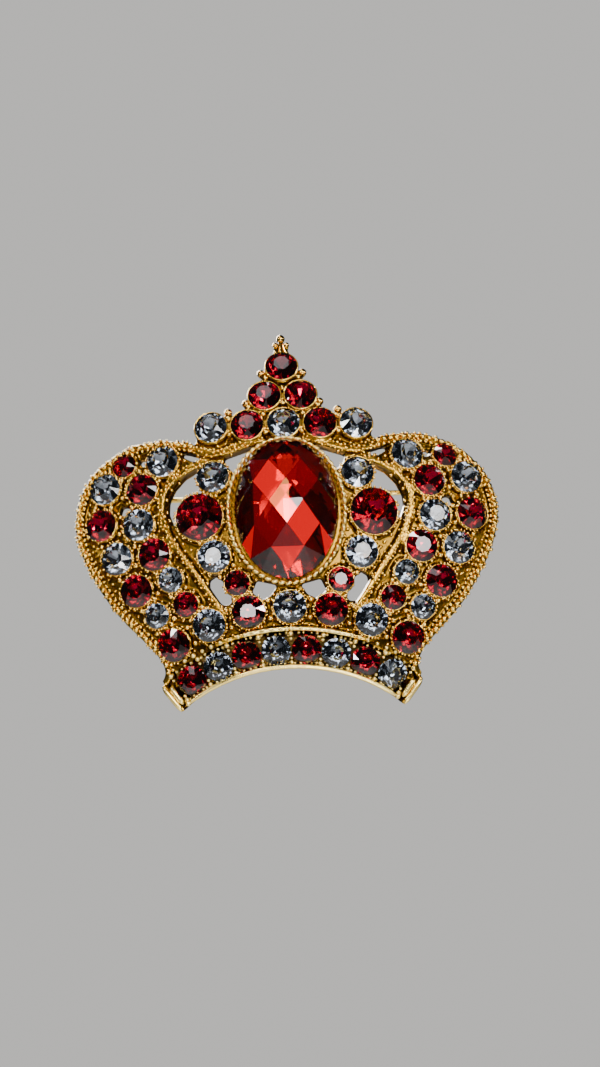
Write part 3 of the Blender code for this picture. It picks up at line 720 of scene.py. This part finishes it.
def build_granulation(seats, dice, height_at, taken):
    """Fine granules crowded on the raised borders, and sparse round beads in the hollows."""
    places = [(*pattern_place(seat.centre), seat.radius + 0.30) for seat in seats]
    trim = Trim()

    def open_ground(u, v):
        if any(math.hypot(u - p, v - q) < radius for p, q, radius in places):
            return False
        return not in_bezel(u, v, BEZEL_CLEAR) and math.hypot(u, v - BAND_CENTRE) > UPPER_RAIL + 0.45

    def hollow(u, v):
        return (open_ground(u, v) and (height := height_at(u, v)) is not None
                and PLATE_LEVEL < height < BORDER_LEVEL)

    def border(u, v):
        return open_ground(u, v) and (height := height_at(u, v)) is not None and height >= BORDER_LEVEL

    hollows = scatter(dice, 0.80, 12000, hollow, taken)
    borders = scatter(dice, 0.43, 45000, border, taken)
    for u, v in hollows:
        size = dice.uniform(0.20, 0.29)
        trim.bead(dome_frame(u, v, height_at(u, v) + size * 0.5), size)
    for u, v in borders:
        size = dice.uniform(0.17, 0.25)
        trim.bead(dome_frame(u, v, height_at(u, v) + size * 0.35), size)
    trim.piece("granulation", BEAD_GOLD)


def build_edge_beads(dice):
    """The two rows of beads that run along the outer edge of both wings."""
    trim = Trim()
    line = smooth_line(WING_EDGE, 8)
    for side, flip in ((line, 1.0), (mirrored(line), -1.0)):
        for distance, pitch, low, high, height in EDGE_ROWS:
            for u, v, turn in spaced(inset(side, distance * flip), pitch):
                size = dice.uniform(low, high)
                trim.ball(dome_frame(u, v, height, turn + 0.35 * flip), (size * 1.1, size, size))
    trim.piece("edge_beads", BEAD_GOLD)


def build_bezel_rope(dice):
    """The rope of slanted beads round the oval stone."""
    trim = Trim()
    turns = [math.tau * step / 180 for step in range(181)]
    ring = [(ROPE_HALF_WIDTH * math.sin(turn), ROPE_CENTRE + ROPE_HALF_HEIGHT * math.cos(turn))
            for turn in turns]
    for u, v, turn in spaced(ring, 0.90)[:-1]:
        size = dice.uniform(0.94, 1.06)
        slant = 0.22 + 0.22 * max(0.0, -v / ROPE_HALF_HEIGHT)
        trim.ball(dome_frame(u, v, BEZEL_TOP + 0.05, turn + slant), (0.48 * size, 0.28, 0.36), ROUND_BALL)
        trim.ball(dome_frame(u, v, -0.35, turn + slant), (0.36, 0.2, 0.75))
    trim.piece("bezel_rope", WIRE_GOLD)


def build_band_trim(dice):
    """Rails, the beads between the band's stones, and the bars across the feet."""
    trim = Trim()
    for rail, start, end in RAILS:
        line = band_arc(rail, start, end, RAIL_STEPS)
        points = [dome_point(u, v, RAIL_HEIGHT + 0.04 * math.sin(5.1 * u)) for u, v in line]
        even = rounded(RAIL_RADIUS, RAIL_STEPS)
        radii = [radius * (1.0 + 0.06 * math.sin(3.7 * u + 1.0)) for radius, (u, v) in zip(even, line)]
        trim.tube(points, radii)
        for u, v in (line[0], line[-1]):
            trim.bead(dome_frame(u, v, RAIL_HEIGHT), RAIL_END, ROUND_BALL)
    for angle in RAIL_BEADS:
        size = dice.uniform(0.24, 0.33)
        trim.bead(dome_frame(*band_point(UPPER_RAIL, angle), 0.15), size, ROUND_BALL)
    for index in range(BAND_COUNT + 1):
        angle = (index - BAND_COUNT / 2) * BAND_PITCH / BAND_RADIUS
        for radius, size, height in ((LOWER_RAIL + 0.50, 0.27, 0.10), (LOWER_RAIL + 1.05, 0.20, 0.0),
                                     (UPPER_RAIL - 1.25, 0.20, 0.0), (UPPER_RAIL - 0.62, 0.31, 0.10)):
            size *= dice.uniform(0.9, 1.15)
            trim.bead(dome_frame(*band_point(radius, angle), height), size, ROUND_BALL)
    for index in range(FILLERS):
        angle = FILLER_REACH * (2.0 * (index + dice.random()) / FILLERS - 1.0)
        size = dice.uniform(0.15, 0.23)
        reach = UPPER_RAIL - 0.55 if index % 2 else LOWER_RAIL + 0.42
        place = band_point(reach + dice.uniform(-0.1, 0.1), angle)
        trim.ball(dome_frame(*place, -0.1), (size, size, 2.0 * size))
    for side in (-1, 1):
        for angle, start, end in (OUTER_BAR, INNER_BAR):
            line = [band_point(start + (end - start) * step / (BAR_STEPS - 1), side * angle)
                    for step in range(BAR_STEPS)]
            trim.tube([dome_point(u, v, BAR_HEIGHT) for u, v in line], rounded(BAR_RADIUS, BAR_STEPS))
    trim.piece("band_trim", WIRE_GOLD)


def build_spire_beads():
    """The polished beads beside the spire, and the finial: a ribbed, tapered stem with three beads."""
    trim = Trim()
    for u, v in SPIRE_BEADS + mirrored(SPIRE_BEADS):
        trim.bead(dome_frame(u, v + 0.2, -0.55), 0.54, ROUND_BALL)
    trim.bead(dome_frame(0.0, FINIAL_TOP, -0.6), 0.57, ROUND_BALL)
    for side in (-1.0, 0.0, 1.0):
        u, v = FINIAL_SIDES
        if side:
            trim.bead(dome_frame(side * u, v, -0.5), 0.40, ROUND_BALL)
        top = FINIAL_TOP - 0.3 - 0.6 * abs(side)
        rib = [(side * (0.72 - 0.42 * step / 7), FINIAL_FOOT + (top - FINIAL_FOOT) * step / 7)
               for step in range(8)]
        trim.tube([dome_point(p, q, -0.75) for p, q in rib], [0.42 - 0.14 * step / 7 for step in range(8)])
    trim.piece("spire_beads", BALL_GOLD)


def dress_fittings():
    """Softened edges and plate on the hinge, the pin and the catch."""
    for node in ("pin_joint", "hinge_rivet", "pin_stem", "catch_base", "catch_roller"):
        thing = frame["nodes"][node]
        look = WIRE_GOLD if node == "pin_stem" else FITTING_GOLD
        for slot in thing.material_slots:
            slot.material = look
        if not thing.material_slots:
            thing.data.materials.append(look)
        bevel = thing.modifiers.new("soft_edges", "BEVEL")
        bevel.width = 0.05 * MM
        bevel.segments = 2
        bevel.limit_method = "ANGLE"
        bevel.angle_limit = math.radians(40.0)


# ---------------------------------------------------------------- stage

CAMERA_DISTANCE = 220.0
CAMERA_PITCH = math.radians(15.0)
CAMERA_ROLL = math.radians(2.0)
FOCAL_LENGTH = 57.9
SHIFT = (0.0127, -0.0222)

# The floor's size and level are in metres
FLOOR_RADIUS = 0.60
FLOOR_LEVEL = -0.30
FLOOR_COLOUR = (0.72, 0.71, 0.69, 1.0)


def build_camera():
    """The camera looks at the crown's middle from a little below square, rolled a little."""
    target = dome_point(0.0, 0.0)
    along = Vector((0.0, math.cos(CAMERA_PITCH), math.sin(CAMERA_PITCH)))
    up = Vector((0.0, -math.sin(CAMERA_PITCH), math.cos(CAMERA_PITCH)))
    right = along.cross(up)
    rotation = Matrix((right, up, -along)).transposed().to_4x4()
    camera = bpy.data.objects.new("camera", bpy.data.cameras.new("camera"))
    camera.data.lens = FOCAL_LENGTH
    camera.data.sensor_width = 36.0
    camera.data.shift_x, camera.data.shift_y = SHIFT
    camera.data.clip_start = 0.01
    camera.matrix_world = (Matrix.Translation(target - along * CAMERA_DISTANCE * MM) @ rotation
                           @ Matrix.Rotation(-CAMERA_ROLL, 4, "Z"))
    bpy.context.scene.collection.objects.link(camera)
    bpy.context.scene.camera = camera


def towards(turn, rise, distance):
    """A place in front of the crown, from degrees to the right and degrees up."""
    turn, rise = math.radians(turn), math.radians(rise)
    return (distance * math.sin(turn) * math.cos(rise), -distance * math.cos(turn) * math.cos(rise),
            distance * math.sin(rise))


def add_light(name, place, size, power, colour=(1.0, 1.0, 1.0)):
    """A soft rectangular light, at a place in millimetres, aimed at the crown."""
    width, height = size
    light = bpy.data.objects.new(name, bpy.data.lights.new(name, "AREA"))
    light.data.shape = "RECTANGLE"
    light.data.size, light.data.size_y = width * MM, height * MM
    light.data.energy = power
    light.data.color = colour
    place = Vector(place) * MM
    light.location = place
    light.rotation_euler = (-place).to_track_quat("-Z", "Y").to_euler()
    bpy.context.scene.collection.objects.link(light)


def build_floor():
    shape = bmesh.new()
    bmesh.ops.create_circle(shape, cap_ends=True, segments=96, radius=FLOOR_RADIUS)
    floor = bpy.data.objects.new("floor", finished(shape, "floor"))
    floor.location.z = FLOOR_LEVEL
    made, shader = new_material("floor_looks")
    settings(shader, Base_Color=FLOOR_COLOUR, Roughness=0.9, Emission_Color=FLOOR_COLOUR,
             Emission_Strength=0.34)
    floor.data.materials.append(made)
    bpy.context.scene.collection.objects.link(floor)


def build_world():
    """A plain pale backdrop, which lights the crown only faintly."""
    world = bpy.data.worlds.new("studio")
    bpy.context.scene.world = world
    world.use_nodes = True
    nodes, links = world.node_tree.nodes, world.node_tree.links
    seen = nodes["Background"]
    settings(seen, Color=(0.62, 0.61, 0.59, 1.0), Strength=1.0)
    around = nodes.new("ShaderNodeBackground")
    settings(around, Color=(0.55, 0.56, 0.60, 1.0), Strength=0.07)
    ray = nodes.new("ShaderNodeLightPath")
    choice = nodes.new("ShaderNodeMixShader")
    links.new(ray.outputs["Is Camera Ray"], choice.inputs[0])
    links.new(around.outputs[0], choice.inputs[1])
    links.new(seen.outputs[0], choice.inputs[2])
    links.new(choice.outputs[0], nodes["World Output"].inputs["Surface"])


def build_lights():
    add_light("sky", (-150.0, -200.0, 360.0), (60.0, 60.0), 0.78, (1.0, 0.98, 0.95))
    add_light("haze", (-60.0, -280.0, 270.0), (150.0, 150.0), 0.2, (0.95, 0.97, 1.0))
    add_light("front", towards(9.8, 6.8, 320.0), (110.0, 88.0), 0.62, (1.0, 0.99, 0.97))
    add_light("warm", towards(-2.6, 14.8, 320.0), (30.0, 30.0), 0.05, (1.0, 0.40, 0.12))
    add_light("front_left", towards(-16.5, 6.5, 320.0), (34.0, 34.0), 0.08)
    add_light("front_low", towards(-9.0, -7.0, 320.0), (30.0, 30.0), 0.06, (1.0, 0.93, 0.92))
    add_light("left", (-310.0, -240.0, 90.0), (40.0, 40.0), 0.5, (0.96, 0.98, 1.0))
    add_light("right", towards(31.0, 10.0, 330.0), (80.0, 80.0), 0.38)
    add_light("side", (330.0, -160.0, 60.0), (36.0, 36.0), 0.5)
    add_light("low", (40.0, -250.0, -230.0), (45.0, 45.0), 0.4)
    add_light("back", (-120.0, 320.0, 220.0), (200.0, 200.0), 4.0)


def main():
    dice = random.Random(7)
    build_casting()
    seats = build_round_stones(dice)
    build_band_stones(dice)
    build_oval_stone()
    height_at = surface_finder()
    build_cup_rims(seats)
    build_cup_granules(seats, dice)
    grains = build_grain_beads(seats, dice, height_at)
    build_granulation(seats, dice, height_at, grains)
    build_edge_beads(dice)
    build_bezel_rope(dice)
    build_band_trim(dice)
    build_spire_beads()
    dress_fittings()
    build_camera()
    build_floor()
    build_world()
    build_lights()


main()
